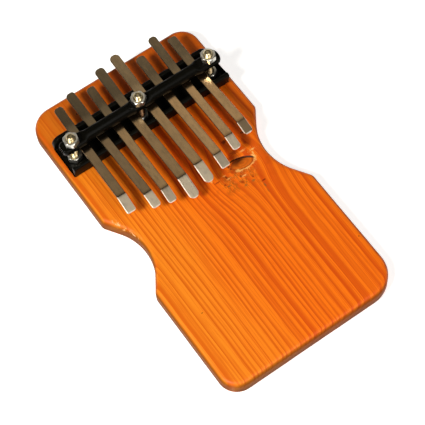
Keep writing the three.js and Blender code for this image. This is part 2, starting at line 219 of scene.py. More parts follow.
class Graph:
    """A material and the few kinds of node that it is built from."""

    def __init__(self, name):
        self.material = bpy.data.materials.new(name)
        self.material.use_nodes = True
        self.nodes = self.material.node_tree.nodes
        self.links = self.material.node_tree.links
        self.nodes.clear()
        output = self.nodes.new("ShaderNodeOutputMaterial")
        self.shader = self.nodes.new("ShaderNodeBsdfPrincipled")
        self.links.new(self.shader.outputs[0], output.inputs[0])

    def put(self, socket, value):
        if isinstance(value, bpy.types.NodeSocket):
            self.links.new(value, socket)
        else:
            socket.default_value = value

    def set(self, **values):
        """Sets the shader's sockets: base_color="Base Color" and so on."""
        for name, value in values.items():
            self.put(self.shader.inputs[name.replace("_", " ").title().replace("Ior", "IOR")], value)

    def math(self, operation, a, b=0.0):
        node = self.nodes.new("ShaderNodeMath")
        node.operation = operation
        for socket, value in zip(node.inputs, (a, b)):
            self.put(socket, value)
        return node.outputs[0]

    def add(self, total, *others):
        for other in others:
            total = self.math("ADD", total, other)
        return total

    def mul(self, total, *others):
        for other in others:
            total = self.math("MULTIPLY", total, other)
        return total

    def sub(self, a, b):
        return self.math("SUBTRACT", a, b)

    def between(self, factor, a, b):
        """A number from a to b as the factor goes from 0 to 1."""
        return self.add(a, self.mul(factor, b - a))

    def place(self, attribute=None):
        """Coordinates in millimetres: the piece's own, or those kept in an attribute."""
        if attribute:
            node = self.nodes.new("ShaderNodeAttribute")
            node.attribute_name = attribute
            return node.outputs["Vector"]
        node = self.nodes.new("ShaderNodeTexCoord")
        return self.scaled(node.outputs["Object"], (1 / MM,) * 3)

    def scaled(self, vector, factors):
        node = self.nodes.new("ShaderNodeVectorMath")
        node.operation = "MULTIPLY"
        self.links.new(vector, node.inputs[0])
        node.inputs[1].default_value = factors
        return node.outputs[0]

    def split(self, vector):
        node = self.nodes.new("ShaderNodeSeparateXYZ")
        self.links.new(vector, node.inputs[0])
        return node.outputs[0], node.outputs[1], node.outputs[2]

    def join(self, x, y, z):
        node = self.nodes.new("ShaderNodeCombineXYZ")
        for socket, value in zip(node.inputs, (x, y, z)):
            self.put(socket, value)
        return node.outputs[0]

    def noise(self, vector, stretch=(1, 1, 1), detail=2.0, rough=0.5):
        """Noise from 0 to 1; stretch is its frequency along each axis, per millimetre."""
        node = self.nodes.new("ShaderNodeTexNoise")
        node.inputs["Scale"].default_value = 1.0
        node.inputs["Detail"].default_value = detail
        node.inputs["Roughness"].default_value = rough
        self.links.new(self.scaled(vector, stretch), node.inputs["Vector"])
        return node.outputs["Fac"]

    def step(self, value, low, high, to_low=0.0, to_high=1.0):
        """A smooth step of value between low and high."""
        node = self.nodes.new("ShaderNodeMapRange")
        node.interpolation_type = "SMOOTHSTEP"
        for name, number in (("Value", value), ("From Min", low), ("From Max", high),
                             ("To Min", to_low), ("To Max", to_high)):
            self.put(node.inputs[name], number)
        return node.outputs[0]

    def mix(self, factor, a, b):
        node = self.nodes.new("ShaderNodeMix")
        node.data_type = "RGBA"
        self.put(node.inputs["Factor"], factor)
        self.put(node.inputs[6], a if isinstance(a, bpy.types.NodeSocket) else (*a, 1.0))
        self.put(node.inputs[7], b if isinstance(b, bpy.types.NodeSocket) else (*b, 1.0))
        return node.outputs[2]

    def bell(self, x, y, centre, size):
        """1 at a centre, falling smoothly to 0 a few sizes away, as an ellipse."""
        dx = self.mul(self.sub(x, centre[0]), 1 / size[0])
        dy = self.mul(self.sub(y, centre[1]), 1 / size[1])
        square = self.add(self.mul(dx, dx), self.mul(dy, dy))
        return self.math("EXPONENT", self.mul(square, -1.0))

    def bump(self, height, distance, strength):
        """Bump with its height in millimetres times distance."""
        node = self.nodes.new("ShaderNodeBump")
        node.inputs["Strength"].default_value = strength
        node.inputs["Distance"].default_value = distance * MM
        self.links.new(height, node.inputs["Height"])
        return node.outputs[0]


# ---- Pine ----

KNOT = (27.0, 6.0)  # centre on the board's top
KNOT_SIZE = (7.6, 3.9)
KNOT_LEAN = 0.5
CRACK = (9.5, -2.05, -2.07)  # y of the crack as a parabola across the knot
PARTING = 8.5  # how far the grain is pushed aside by the knot
PARTING_REACH = (15.0, 19.0)  # across and along the grain
PITH = (92.0, -62.0)  # x and z of the trunk's heart, which runs along Y
RING_WIDTH = 2.9

EARLY_LEFT = (0.97, 0.270, 0.012)
EARLY_RIGHT = (0.99, 0.196, 0.004)
LATE_LEFT = (0.74, 0.122, 0.002)
LATE_RIGHT = (0.70, 0.080, 0.0010)
# Darkens end faces, partly their own end grain and partly painted shade, and long sides as painted
# shade.
SIDE_SHADE_AND_END_GRAIN = (0.120, 0.040, 0.006)
SHADE_BEHIND_BRIDGE = (0.58, 0.100, 0.002)  # painted shade, darker towards the back behind the bridge
STAIN = (0.50, 0.050, 0.001)
MOTTLING = (0.36, 0.095, 0.006)
KNOT_WOOD = (0.70, 0.140, 0.005)
KNOT_RING = (0.36, 0.050, 0.002)
KNOT_DARK = (0.085, 0.020, 0.002)
KNOT_EDGE = (0.34, 0.035, 0.001)
# Painted shade in the depth of the knot's crack.
CRACK_SHADE = (0.020, 0.005, 0.001)
WISPS = (0.98, 0.44, 0.09)
# Darker low band on the sides: partly grime, partly painted shade.
GRIME_AND_SHADE = (0.085, 0.028, 0.006)
CHIPS = (1.0, 0.62, 0.27)

# Small marks on the top: centre, size, colour, strength.
DARK_MARK = (0.11, 0.020, 0.002)
RED_MARK = (0.36, 0.030, 0.001)
PALE_MARK = (1.0, 0.56, 0.15)
GREY_MARK = (0.26, 0.11, 0.025)
MARKS = (
    ((30.5, -9.4), (1.5, 0.6), (0.17, 0.012, 0.001), 0.95),
    ((19.6, 8.1), (1.3, 0.8), DARK_MARK, 0.95),
    ((19.8, 6.4), (0.7, 0.9), DARK_MARK, 0.7),
    ((14.9, 3.6), (0.9, 1.2), DARK_MARK, 0.8),
    ((11.9, 0.1), (1.1, 0.8), RED_MARK, 0.9),
    ((13.2, -1.7), (1.0, 0.8), GREY_MARK, 0.8),
    ((21.7, -0.3), (0.8, 1.1), DARK_MARK, 0.75),
    ((20.6, -3.9), (1.1, 1.2), RED_MARK, 0.85),
    ((20.9, -6.4), (1.0, 1.0), GREY_MARK, 0.6),
    ((27.0, -4.2), (0.8, 1.2), RED_MARK, 0.9),
    ((25.8, -6.4), (1.6, 0.9), GREY_MARK, 0.7),
    ((29.3, -12.2), (0.6, 1.5), GREY_MARK, 0.85),
    ((28.7, -16.0), (0.6, 1.5), GREY_MARK, 0.4),
    ((26.4, 22.4), (2.2, 1.4), DARK_MARK, 0.75),
    ((38.0, 21.5), (1.3, 0.7), DARK_MARK, 0.85),
    ((35.6, 16.5), (1.1, 2.6), RED_MARK, 0.8),
    # Partly a painted shadow of the tines, partly a red stain.
    ((27.5, 13.8), (5.0, 1.6), RED_MARK, 0.7),
    ((9.4, 3.8), (2.4, 0.6), RED_MARK, 0.8),
    ((7.0, 6.1), (0.7, 1.0), PALE_MARK, 0.8),
    ((14.6, 5.0), (1.2, 0.5), PALE_MARK, 0.6),
    ((15.4, 2.2), (1.5, 0.5), PALE_MARK, 0.6),
    ((23.4, -1.1), (1.9, 0.6), PALE_MARK, 0.75),
    ((22.4, 3.4), (1.5, 1.1), PALE_MARK, 0.75),
    ((31.5, 12.0), (2.0, 0.7), PALE_MARK, 0.6),
    ((36.4, 9.6), (2.0, 0.6), PALE_MARK, 0.8),
    ((35.4, 7.8), (0.5, 1.4), PALE_MARK, 0.95),
    ((34.9, 5.8), (0.7, 0.7), PALE_MARK, 1.0),
    ((34.2, 3.2), (0.6, 0.7), PALE_MARK, 0.7),
    ((23.5, 12.0), (3.2, 1.6), RED_MARK, 0.7),
    ((-40.6, -53.6), (0.5, 0.4), DARK_MARK, 0.8),
    ((-28.6, 85.0), (0.6, 0.8), DARK_MARK, 0.9),
    ((51.0, -66.0), (0.4, 0.5), DARK_MARK, 0.8),
)


def pine_material():
    g = Graph("varnished_pine")
    place = g.place()
    x, y, z = g.split(place)

    # The grain runs along Y, wanders a little and parts round the knot.
    wander = g.sub(g.noise(place, (0.014, 0.0035, 0.014), 1.0), 0.5)
    ripple = g.sub(g.noise(place, (0.07, 0.016, 0.07), 2.0), 0.5)
    dx = g.mul(g.sub(x, KNOT[0] - 1.0), 1 / PARTING_REACH[0])
    dy = g.mul(g.sub(y, KNOT[1]), 1 / PARTING_REACH[1])
    fade = g.math("EXPONENT", g.mul(g.add(g.mul(dx, dx, 0.5), g.mul(dy, dy)), -1.0))
    parted = g.mul(dx, fade, PARTING)
    across = g.add(g.sub(x, parted), g.mul(wander, 6.0), g.mul(ripple, 1.6))

    # Growth rings round the heart of the trunk: pale early wood, then a dark late line.
    from_pith = g.sub(across, PITH[0])
    below = g.sub(z, PITH[1])
    radius = g.math("SQRT", g.add(g.mul(from_pith, from_pith), g.mul(below, below)))
    along_radius = g.join(radius, 0.0, 0.0)
    uneven = g.noise(along_radius, (0.15, 1.0, 1.0), 2.0)
    ring = g.mul(g.add(radius, g.mul(uneven, 9.0)), 1 / RING_WIDTH)
    phase = g.math("FRACT", ring)
    late = g.mul(g.step(phase, 0.35, 0.93), g.step(phase, 1.0, 0.94))
    weight = g.step(g.noise(along_radius, (0.37, 1.0, 1.0), 1.0), 0.32, 0.58, 0.2, 1.0)
    late = g.mul(late, weight)

    # Long streaks, fine fibres, and slow changes of colour: lighter and yellower to the left.
    flow = g.join(across, y, z)
    streak = g.step(g.noise(flow, (0.85, 0.006, 0.1), 3.0, 0.65), 0.53, 0.61)
    fibre = g.noise(flow, (1.9, 0.04, 1.9), 4.0, 0.62)
    hair = g.noise(flow, (5.2, 0.16, 5.2), 2.0, 0.6)
    cloud = g.noise(place, (0.035, 0.018, 0.035), 2.0)
    to_right = g.step(g.add(x, g.mul(cloud, 34.0)), -34.0, 22.0)
    early_color = g.mix(to_right, EARLY_LEFT, EARLY_RIGHT)
    late_color = g.mix(to_right, LATE_LEFT, LATE_RIGHT)
    color = g.mix(late, early_color, late_color)
    color = g.mix(g.mul(streak, 0.55), color, late_color)
    color = g.mix(g.step(fibre, 0.50, 0.62, 0.0, 0.42), color, late_color)
    color = g.mix(g.step(hair, 0.55, 0.78, 0.0, 0.20), color, early_color)
    # Painted shade: darker and deeper orange towards the back, behind the bridge.
    behind = g.step(g.add(y, g.mul(x, 0.35), g.mul(cloud, 30.0)), 42.0, 122.0)
    color = g.mix(g.mul(behind, 0.85), color, SHADE_BEHIND_BRIDGE)

    color, crack = knot_color(g, place, x, y, z, color)
    color, sides = wear_and_shade_color(g, place, x, y, z, color)

    relief = g.add(g.mul(late, 0.15), g.mul(fibre, 0.45), g.mul(hair, 0.2))
    relief = g.sub(relief, g.mul(crack, 3.0))
    smear = g.noise(place, (0.11, 0.03, 0.11), 3.0)
    rough = g.add(g.mul(g.noise(place, (0.9, 0.06, 0.9), 3.0), 0.16), g.mul(smear, 0.10))
    g.set(base_color=color, roughness=g.add(rough, 0.30), normal=g.bump(relief, 0.07, 0.5),
          specular_ior_level=g.step(sides, 0.0, 0.8, 0.22, 0.02))
    return g.material


def knot_color(g, place, x, y, z, color):
    """The knot, its crack (painted shade in its groove), the torn pale fibres round it and the
    stains beside it.
    """
    top = g.step(z, BOARD_TOP - 5.0, BOARD_TOP - 2.0)
    fray = g.sub(g.noise(place, (0.42, 0.42, 0.2), 3.0, 0.65), 0.5)
    fine = g.sub(g.noise(place, (1.5, 1.1, 0.3), 3.0, 0.7), 0.5)

    kx = g.mul(g.sub(x, KNOT[0]), 1 / KNOT_SIZE[0])
    ky = g.mul(g.add(g.sub(y, KNOT[1]), g.mul(kx, KNOT_LEAN)), 1 / KNOT_SIZE[1])
    out = g.math("SQRT", g.add(g.mul(kx, kx), g.mul(ky, ky)))
    out = g.add(out, g.mul(fray, 0.22))

    # A brown, resinous stain with a feathery edge reaches left and down from the knot.
    stain = g.bell(x, y, (22.0, 2.0), (17.0, 10.0))
    blotch = g.step(g.noise(place, (0.16, 0.13, 0.1), 4.0, 0.66), 0.46, 0.64)
    color = g.mix(g.mul(stain, blotch, top, 0.95), color, STAIN)
    feather = g.step(g.noise(place, (1.5, 0.55, 0.2), 4.0, 0.75), 0.42, 0.58)
    area = g.step(g.bell(x, y, (20.0, -0.5), (11.5, 7.5)), 0.15, 0.70)
    patchy = g.step(g.noise(place, (0.30, 0.26, 0.2), 3.0, 0.6), 0.42, 0.54)
    color = g.mix(g.mul(area, patchy, feather, top, 0.75), color, MOTTLING)

    # The knot's own wood: rings round its heart, dark towards the crack.
    rings = g.math("SINE", g.mul(g.add(out, g.mul(fine, 0.12)), 17.0))
    heart = g.mix(g.step(rings, -0.5, 0.9, 0.0, 0.32), KNOT_WOOD, KNOT_RING)
    shade = g.math("MAXIMUM", g.bell(x, y, (27.0, 8.2), (3.6, 1.3)),
                   g.mul(g.bell(x, y, (24.5, 8.4), (5.5, 2.2)), 0.75))
    heart = g.mix(g.mul(shade, 0.93), heart, KNOT_DARK)
    color = g.mix(g.mul(g.step(out, 0.93, 0.84), top), color, heart)
    edge = g.mul(g.step(out, 0.76, 0.86), g.step(out, 0.98, 0.88))
    color = g.mix(g.mul(edge, top, 0.7), color, KNOT_EDGE)

    # Torn fibres, pale, spread outwards round the knot's right end and lower side.
    angle = g.math("ARCTAN2", ky, kx)
    teeth = g.noise(g.join(angle, out, 0.0), (9.0, 2.2, 1.0), 3.0, 0.75)
    rim = g.mul(g.step(out, 0.90, 0.97), g.step(g.sub(out, g.mul(teeth, 1.2)), 0.58, 0.38))
    sector = g.step(g.sub(g.mul(kx, 0.75), ky), 0.0, 0.45)
    color = g.mix(g.mul(rim, sector, top, 0.85), color, PALE_MARK)
    wisps = g.step(g.noise(place, (2.0, 0.7, 0.2), 3.0, 0.75), 0.55, 0.66)
    beside = g.math("MAXIMUM", g.bell(x, y, (22.0, 0.5), (9.5, 3.4)),
                    g.bell(x, y, (35.5, 8.5), (4.0, 4.0)))
    color = g.mix(g.mul(beside, wisps, top, 0.8), color, WISPS)

    # The crack round the knot's upper side is a groove in the mesh; its depth is painted near black,
    # as shade.
    level, tilt, curve = CRACK
    line = g.add(level, g.mul(kx, tilt), g.mul(kx, kx, curve))
    off = g.math("ABSOLUTE", g.sub(g.add(y, g.mul(fine, 0.35)), line))
    width = g.step(kx, -0.9, 0.9, 0.24, 0.46)
    span = g.mul(g.step(kx, -0.98, -0.8), g.step(kx, 1.02, 0.97))
    crack = g.mul(g.step(g.math("DIVIDE", off, width), 1.5, 0.8), span, top)
    color = g.mix(g.mul(crack, 0.98), color, CRACK_SHADE)

    ragged = g.sub(g.noise(place, (2.6, 1.2, 0.3), 3.0, 0.75), 0.5)
    for centre, size, tone, depth in MARKS:
        spot = g.add(g.bell(x, y, centre, size), g.mul(ragged, 1.6))
        spot = g.mul(g.step(spot, 0.28, 0.95), top)
        color = g.mix(g.mul(spot, depth), color, tone)
    return color, crack


def wear_and_shade_color(g, place, x, y, z, color):
    """Darker end faces, partly their own end grain and partly painted shade; darker long sides,
    painted shade; a darker low band on the sides, partly grime and partly painted shade; and
    pale chips along the left waist's upper edge."""
    facing = g.split(g.nodes.new("ShaderNodeTexCoord").outputs["Normal"])
    end_face = g.step(g.math("ABSOLUTE", facing[1]), 0.40, 0.95)
    side_face = g.step(g.math("ABSOLUTE", facing[0]), 0.45, 0.95)
    # Painted shade by facing: end faces darker, partly their own end grain too, and long sides
    # darker.
    color = g.mix(g.mul(end_face, 0.82), color, SIDE_SHADE_AND_END_GRAIN)
    color = g.mix(g.mul(side_face, 0.8), color, SIDE_SHADE_AND_END_GRAIN)
    # A darker band low on the sides: partly grime, partly painted shade.
    grime = g.noise(place, (0.12, 0.12, 0.3), 4.0, 0.6)
    low = g.mul(g.step(z, BOARD_TOP - 2.4, 1.0), g.step(grime, 0.30, 0.62, 0.45, 0.85))
    sides = g.math("MAXIMUM", end_face, side_face)
    color = g.mix(g.mul(low, sides), color, GRIME_AND_SHADE)
    scratch = g.step(g.noise(place, (1.1, 0.5, 0.8), 3.0, 0.75), 0.54, 0.60)
    along = g.sub(x, g.sub(-46.0, g.mul(g.sub(y, 10.0), 0.33)))
    strip = g.math("EXPONENT", g.mul(along, along, -0.9))
    reach = g.mul(g.step(y, -1.0, 3.0), g.step(y, 19.5, 16.0))
    upper = g.step(z, BOARD_TOP - 3.0, BOARD_TOP - 1.0)
    color = g.mix(g.mul(strip, reach, scratch, upper, 0.95), color, CHIPS)
    return color, sides


# ---- Board ----

def arc(centre, radius, start, end, spacing=1.0):
    """Points of an arc with the outward normal at each. A negative radius is hollow."""
    steps = max(3, math.ceil(abs(end - start) * abs(radius) / spacing))
    points = []
    for i in range(steps + 1):
        angle = start + (end - start) * i / steps
        normal = Vector((math.cos(angle), math.sin(angle)))
        points.append((Vector(centre) + normal * abs(radius), normal * math.copysign(1, radius)))
    return points


def waist(side):
    """One side's waist, up the right side or down the left one."""
    middle, depth = WAIST[side]
    half_turn = 0.0 if side > 0 else math.pi
    straight = (depth - NOTCH_RADIUS * (1 - math.cos(NOTCH_SLOPE))) / math.sin(NOTCH_SLOPE)
    away = (NOTCH_RADIUS * math.sin(NOTCH_SLOPE) + straight * math.cos(NOTCH_SLOPE)
            + NOTCH_LIP * math.tan(NOTCH_SLOPE / 2))
    lip_x = side * (HALF_WIDTH - NOTCH_LIP)
    points = arc((lip_x, middle - side * away), NOTCH_LIP, half_turn, half_turn + NOTCH_SLOPE, 0.6)
    hollow_x = side * (HALF_WIDTH - depth + NOTCH_RADIUS)
    hollow = arc((hollow_x, middle), -NOTCH_RADIUS, half_turn + math.pi + NOTCH_SLOPE,
                 half_turn + math.pi - NOTCH_SLOPE)
    points += hollow
    points += arc((lip_x, middle + side * away), NOTCH_LIP, half_turn - NOTCH_SLOPE, half_turn, 0.6)
    return points


def board_outline():
    """The board's outline, counterclockwise, with its outward normals, evenly spaced."""
    quarter = math.pi / 2

    def corner(name, sx, sy, start):
        r = CORNER[name]
        return arc((sx * (HALF_WIDTH - r), sy * (HALF_LENGTH - r)), r, start, start + quarter)

    rough = corner("front_right", 1, -1, -quarter)
    rough += waist(1)
    rough += corner("back_right", 1, 1, 0.0)
    rough += corner("back_left", -1, 1, quarter)
    rough += waist(-1)
    rough += corner("front_left", -1, -1, 2 * quarter)
    outline = []
    for (a, na), (b, nb) in zip(rough, rough[1:] + rough[:1]):
        pieces = max(1, round((b - a).length / 1.2))
        for i in range(pieces):
            t = i / pieces
            outline.append((a.lerp(b, t), na.lerp(nb, t).normalized()))
    return outline


def board_dip(x, y):
    """How far the top lies below its plane, in millimetres."""
    kx = (x - KNOT[0]) / KNOT_SIZE[0]
    ky = (y - KNOT[1] + KNOT_LEAN * kx) / KNOT_SIZE[1]
    out = math.hypot(kx, ky)
    dip = 0.20 * math.exp(-out ** 4 * 0.8)
    if -0.98 < kx < 1.02:
        off = abs(y - CRACK[0] - CRACK[1] * kx - CRACK[2] * kx ** 2) / (0.32 + 0.14 * kx)
        dip += 0.75 * math.exp(-off ** 2)
    for centre, size, tone, depth in MARKS:
        square = ((x - centre[0]) / size[0]) ** 2 + ((y - centre[1]) / size[1]) ** 2
        if square < 9 and tone is not PALE_MARK:
            dip += 0.12 * depth * math.exp(-square)
    dip += 0.05 * noise.noise(Vector((x * 0.3, y * 0.05, 3.0)))
    return dip


def circle(x, y, radius, steps=40):
    return [Vector((x + radius * math.cos(a), y + radius * math.sin(a))) for a in around(steps)]


def inside(points, polygon):
    """Which of an array of points lie inside a polygon."""
    result = np.zeros(len(points), bool)
    px, py = points[:, 0], points[:, 1]
    ring = np.array([tuple(p) for p in polygon])
    for (ax, ay), (bx, by) in zip(ring, np.roll(ring, -1, axis=0)):
        if ay == by:
            continue
        crosses = (ay > py) != (by > py)
        result ^= crosses & (px < ax + (py - ay) * (bx - ax) / (by - ay))
    return result


def sheet_of(outline, holes, extra):
    """Triangles filling an outline less its holes, through extra points."""
    points = list(outline)
    edges = [(i, (i + 1) % len(outline)) for i in range(len(outline))]
    for hole in holes:
        start = len(points)
        points += hole
        edges += [(start + i, start + (i + 1) % len(hole)) for i in range(len(hole))]
    points += extra
    found, _, faces, *_ = delaunay_2d_cdt(points, edges, [], 0, 1e-5)
    found = np.array([tuple(p) for p in found])
    triangles = np.array([f for f in faces if len(f) == 3])
    centres = found[triangles].mean(axis=1)
    keep = inside(centres, outline)
    for hole in holes:
        keep &= ~inside(centres, hole)
    return found, triangles[keep]


def spread(outline, holes, step, window=None):
    """Points on a staggered grid, clear of the outline and the holes."""
    low = Vector((-HALF_WIDTH, -HALF_LENGTH)) if window is None else window[0]
    high = Vector((HALF_WIDTH, HALF_LENGTH)) if window is None else window[1]
    xs = np.arange(low.x, high.x, step)
    ys = np.arange(low.y, high.y, step)
    grid = np.array([(a + (0.5 * step if row % 2 else 0.0), b)
                     for row, b in enumerate(ys) for a in xs])
    grid = grid[inside(grid, outline)]
    clear = np.ones(len(grid), bool)
    for ring in (outline, *holes):
        for p in ring:
            clear &= (grid[:, 0] - p.x) ** 2 + (grid[:, 1] - p.y) ** 2 > (0.55 * step) ** 2
    for hole in holes:
        clear &= ~inside(grid, hole)
    return [Vector(p) for p in grid[clear]]


# Spacing of the points that carry the top's relief, and of those on the flat underside.
KNOT_GRID = 0.5
TOP_GRID = 2.6
MARK_GRID = 0.4
UNDER_GRID = 5.0
MARK_REACH = 2.3  # a lone mark's fine points reach this far from its centre
MARK_CLEAR = 3.2  # and the coarse ones stop here


def in_window(p, window):
    return window[0].x < p[0] < window[1].x and window[0].y < p[1] < window[1].y


def make_board():
    outline = board_outline()
    profile = []
    for i in range(EDGE_STEPS + 1):
        angle = math.pi / 2 * i / EDGE_STEPS
        profile.append((EDGE_ROUND * (1 - math.sin(angle)), EDGE_ROUND * (1 - math.cos(angle))))
    profile += [(inset, BOARD_TOP - z) for inset, z in reversed(profile)]
    rings = []
    for inset, z in profile:
        ring = []
        for point, normal in outline:
            wobble = 0.12 * noise.noise(Vector((point.x * 0.06, point.y * 0.06, z * 0.12)))
            p = point - normal * (inset + max(wobble, 0.0))
            ring.append((p.x, p.y, z))
        rings.append(ring)
    vertices, faces = loft(rings)
    faces = faces[:-2]

    def sheet(ring, holes, extra, level):
        rim = [Vector(p[:2]) for p in ring]
        found, triangles = sheet_of(rim, holes, extra)
        start = len(vertices)
        vertices.extend((px, py, level(px, py)) for px, py in found)
        faces.extend(tuple(int(i) + start for i in t) for t in triangles)

    def top(px, py):
        return BOARD_TOP - board_dip(px, py) * fade(px, py)

    rim_top = [Vector(p[:2]) for p in rings[-1]]
    rim_array = np.array([tuple(p) for p in rim_top])

    def fade(px, py):
        """0 on the rim and at the bolt holes, so that the sheets stay joined."""
        to_rim = math.sqrt(((rim_array - (px, py)) ** 2).sum(axis=1).min())
        to_hole = min(math.hypot(px - hx, py - BRIDGE_Y) for hx in BOLT_X.values()) - HOLE
        return min(1.0, to_rim / 1.5, max(to_hole, 0.0) / 1.5)

    holes = [circle(x, BRIDGE_Y, HOLE) for x in BOLT_X.values()]
    pockets = [circle(x, BRIDGE_Y, POCKET) for x in BOLT_X.values()]
    detail = (Vector((KNOT[0] - 17, KNOT[1] - 20)), Vector((KNOT[0] + 11, KNOT[1] + 8)))
    fine = spread(rim_top, holes, KNOT_GRID, detail)
    coarse = [p for p in spread(rim_top, holes, TOP_GRID) if not in_window(p, detail)]
    for centre, *_ in MARKS:
        if in_window(centre, detail):
            continue
        middle, half = Vector(centre), Vector((2.5, 2.5))
        coarse = [p for p in coarse if (p - middle).length > MARK_CLEAR]
        coarse += [p for p in spread(rim_top, holes, MARK_GRID, (middle - half, middle + half))
                   if (p - middle).length < MARK_REACH]
    sheet(rings[-1], holes, fine + coarse, top)
    rim_bottom = [Vector(p[:2]) for p in rings[0]]
    sheet(rings[0], pockets, spread(rim_bottom, pockets, UNDER_GRID), lambda px, py: 0.0)

    for hole, pocket in zip(holes, pockets):
        start = len(vertices)
        count = len(hole)
        levels = [(pocket, 0.0), (pocket, POCKET_DEPTH), (hole, POCKET_DEPTH), (hole, BOARD_TOP)]
        for ring, z in levels:
            vertices.extend((p.x, p.y, z) for p in ring)
        for level in range(len(levels) - 1):
            for i in range(count):
                j = (i + 1) % count
                a = start + level * count
                faces.append((a + i, a + j, a + count + j, a + count + i))
    board = make_object("pine_board", vertices, faces, 50)
    finish_piece(board, "base", ["board"], pine_material())


# ---- Black paint ----

PAINT = (0.0030, 0.0028, 0.0018)
PAINT_DUST = (0.022, 0.017, 0.010)
PAINT_SCRATCH = (0.05, 0.042, 0.03)


def black_paint(name, rough, dust):
    """Black gloss paint with soft unevenness, a little dust and fine scratches."""
    g = Graph(name)
    place = g.place()
    peel = g.noise(place, (0.9, 0.9, 0.9), 2.0)
    cloud = g.noise(place, (0.12, 0.16, 0.16), 4.0, 0.6)
    speck = g.step(g.noise(place, (2.6, 2.6, 2.6), 2.0, 0.6), 0.66, 0.75)
    scratch = g.step(g.noise(place, (0.10, 4.2, 4.2), 3.0, 0.7), 0.67, 0.72)
    color = g.mix(g.mul(g.step(cloud, 0.45, 0.75), dust), PAINT, PAINT_DUST)
    color = g.mix(g.mul(g.math("MAXIMUM", speck, scratch), 0.35), color, PAINT_SCRATCH)
    roughness = g.add(rough, g.mul(cloud, 0.16), g.mul(scratch, 0.2))
    g.set(base_color=color, roughness=roughness, normal=g.bump(peel, 0.05, 0.35),
          specular_ior_level=0.05)
    return g.material


# ---- Channel ----

WALL = 1.2
BEND_RADIUS = 1.7
END_ROUND = 5.0  # of the back flange's upper corners


def rounded(points, radii, steps=5):
    """A closed polygon's points with an arc at each corner, centred for its radius.

    Known fault: slerp returns unit vectors, so every arc is drawn with a radius of 1 mm,
    whatever its corner's radius. The right line would scale the
    slerp by radii[i]."""
    result = []
    for i, point in enumerate(points):
        p = Vector(point)
        before = (Vector(points[i - 1]) - p).normalized()
        after = (Vector(points[(i + 1) % len(points)]) - p).normalized()
        half = before.angle(after) / 2
        reach = radii[i] / math.tan(half)
        centre = p + (before + after).normalized() * (radii[i] / math.sin(half))
        a, b = p + before * reach - centre, p + after * reach - centre
        for step in range(steps + 1):
            t = step / steps
            result.append(centre + a.slerp(b, t))
    return result


def channel_section(depth, height, back_drop, shrink):
    """The channel's section in (y, z); the back flange is lower by back_drop. At the two
    ends it is offset by shrink."""
    half = depth / 2
    inner = half - WALL
    points = [(-half, 0), (half, 0), (half, height - back_drop), (inner, height - back_drop),
              (inner, WALL), (-inner, WALL), (-inner, height), (-half, height)]
    edge = 0.25
    radii = [BEND_RADIUS, BEND_RADIUS, edge, edge, 0.6, 0.6, edge, edge]
    outline = rounded(points, radii)
    if shrink == 0:
        return outline
    smaller = []
    for i, p in enumerate(outline):
        along = outline[(i + 1) % len(outline)] - outline[i - 1]
        normal = Vector((-along.y, along.x)).normalized()
        smaller.append(p + normal * shrink)
    return smaller


def make_channel(material):
    low, high = box_mm("bridge_channel")
    depth, height = high.y - low.y, high.z - low.z
    soft = 0.22
    stations = [0.0, 0.06, soft]
    stations += [END_ROUND * (1 - math.cos(math.pi / 2 * i / 10)) for i in range(3, 11)]
    rings = []
    ends = [(low.x + s, s) for s in stations] + [(x, END_ROUND) for x in np.linspace(-40, 40, 12)]
    ends += [(high.x - s, s) for s in reversed(stations)]
    for x, from_end in ends:
        from_corner = END_ROUND - min(from_end, END_ROUND)
        drop = END_ROUND - math.sqrt(END_ROUND ** 2 - from_corner ** 2)
        drop = min(drop, END_ROUND - 0.05)
        shrink = 0.0
        if from_end < soft:
            shrink = soft - math.sqrt(soft ** 2 - (soft - from_end) ** 2)
        section = channel_section(depth, height, drop, shrink)
        rings.append([(x, BRIDGE_Y + p.x, low.z + p.y) for p in section])
    vertices, faces = loft(rings)
    channel = make_object("channel_bridge", vertices, faces, 40)
    drill(channel, low.z - 1, low.z + WALL + 1)
    finish_piece(channel, "base", ["bridge_channel"], material)


# ---- Pressure bar ----

BAR_RADIUS = 3.5
BAR_WALL = 0.9
BAR_LIP = 0.25
BAR_SIDES = 72
END_REGION = 25  # the end flats lie within this of the ends
END_HALF_WIDTH = 4.2
MIDDLE_HALF_WIDTH = 3.75
EYE_HALF_HEIGHT = 2.3
END_EYE = 6.5
MIDDLE_EYE = 4.4
SWAGE = 3.2
DRAW_LENGTH = 2.2
DRAWN_IN = 1.6
SQUARENESS = 0.62


def smoothstep(t):
    t = min(max(t, 0.0), 1.0)
    return t * t * (3 - 2 * t)


def lerp(a, b, t):
    return a + (b - a) * t


def bar_flatness(x, low, high):
    """0 on a round stretch and 1 where the tube is pressed flat round a bolt."""
    eyes = ((low + END_EYE, END_EYE), (BOLT_X["middle"], MIDDLE_EYE), (high - END_EYE, END_EYE))
    return max(1 - smoothstep((abs(x - at) - half) / SWAGE) for at, half in eyes)


def bar_ring(x, low, high, inset, middle_z):
    """The tube's outline at x, in from its outer surface by inset."""
    flat = bar_flatness(x, low, high)
    from_end = min(x - low, high - x)
    drawn = DRAWN_IN * (1 - min(from_end / DRAW_LENGTH, 1.0)) ** 2
    eye = MIDDLE_HALF_WIDTH if from_end > END_REGION else END_HALF_WIDTH
    half_width = lerp(BAR_RADIUS, eye, flat) - drawn - inset
    half_height = lerp(BAR_RADIUS, EYE_HALF_HEIGHT, flat) - inset
    square = lerp(1.0, SQUARENESS, flat)
    ring = []
    for angle in around(BAR_SIDES):
        c, s = math.cos(angle), math.sin(angle)
        ring.append((x,
                     BRIDGE_Y + half_width * math.copysign(abs(c) ** square, c),
                     middle_z + half_height * math.copysign(abs(s) ** square, s)))
    return ring


